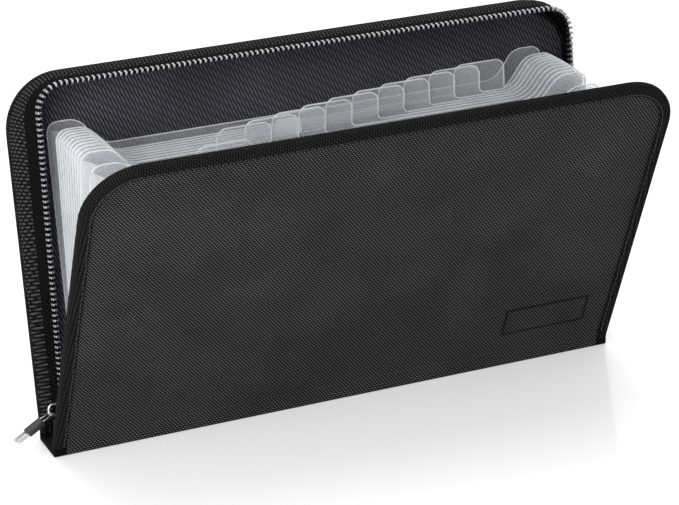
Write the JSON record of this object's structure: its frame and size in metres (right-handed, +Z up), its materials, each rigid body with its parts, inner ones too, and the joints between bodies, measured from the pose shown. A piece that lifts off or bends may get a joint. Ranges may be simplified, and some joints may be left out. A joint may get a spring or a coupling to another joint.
{
  "type": "expanding file folder",
  "caption": "Zip-around expanding file folder standing open: woven black covers, deep gusset, metal zip and a fan of clear film pockets with staggered tabs.",
  "frame": {"origin": "centre of the base's underside, on the surface that the folder stands on", "axes": "+X along the covers towards the right end, +Y from the front cover to the back cover, +Z up"},
  "size_m": [0.2751, 0.1021, 0.1543],
  "materials": {
    "woven_shell": "black coated woven fabric over board, fine basket weave",
    "lining": "dark grey twill lining",
    "binding": "black ribbed edge tape",
    "webbing": "black ribbed webbing",
    "zip_tape": "black woven zip tape",
    "zip_metal": "gunmetal plated teeth and slider",
    "pull_metal": "polished nickel pull",
    "pull_sleeve": "black rubber sleeve",
    "film": "clear milky film with bright cut edges",
    "label": "plain white insert"
  },
  "bodies": {
    "base": {"base_spine": "woven_shell", "pocket_leaf_01": "film", "pocket_leaf_02": "film", "pocket_leaf_03": "film", "pocket_leaf_04": "film", "pocket_leaf_05": "film", "pocket_leaf_06": "film", "pocket_leaf_07": "film", "pocket_leaf_08": "film", "pocket_leaf_09": "film", "pocket_leaf_10": "film", "pocket_leaf_11": "film", "pocket_leaf_12": "film", "tab_label": "label", "left_pleats": "film", "right_pleats": "film"},
    "front_cover": {"front_panel": "woven_shell", "front_lining": "lining", "front_binding": "binding", "front_zip_tape": "zip_tape", "front_zip_teeth": "zip_metal", "front_pocket_sheet": "film"},
    "back_cover": {"back_panel": "woven_shell", "back_lining": "lining", "back_binding": "binding", "back_gusset": "webbing", "back_zip_tape": "zip_tape", "back_zip_teeth": "zip_metal", "zip_bottom_stop": "zip_metal", "back_pocket_sheet": "film"},
    "slider": {"zip_slider": "zip_metal"},
    "pull": {"pull_frame": "pull_metal", "pull_sleeve": "pull_sleeve"}
  },
  "joints": [
    {"name": "front_cover_hinge", "type": "hinge", "parent": "base", "child": "front_cover", "pos_m": [0, -0.007, 0.0026], "axis": [-1, 0, 0], "range_deg": [0, 17.7], "deforming": ["pocket_leaf_01", "pocket_leaf_02", "pocket_leaf_03", "pocket_leaf_04", "pocket_leaf_05", "pocket_leaf_06", "pocket_leaf_07", "pocket_leaf_08", "pocket_leaf_09", "pocket_leaf_10", "pocket_leaf_11", "pocket_leaf_12", "tab_label", "left_pleats", "right_pleats"]},
    {"name": "back_cover_hinge", "type": "hinge", "parent": "base", "child": "back_cover", "pos_m": [0, 0.007, 0.0026], "axis": [1, 0, 0], "range_deg": [0, 8.9]},
    {"name": "slider_travel", "type": "slide", "parent": "back_cover", "child": "slider", "axis": [0, 0.1069, 0.9943], "range_m": [0, 0.11]},
    {"name": "pull_swing", "type": "hinge", "parent": "slider", "child": "pull", "pos_m": [-0.1272, 0.00284, 0.01439], "axis": [0, 0.9792, -0.2028], "range_deg": [-20, 92]}
  ]
}
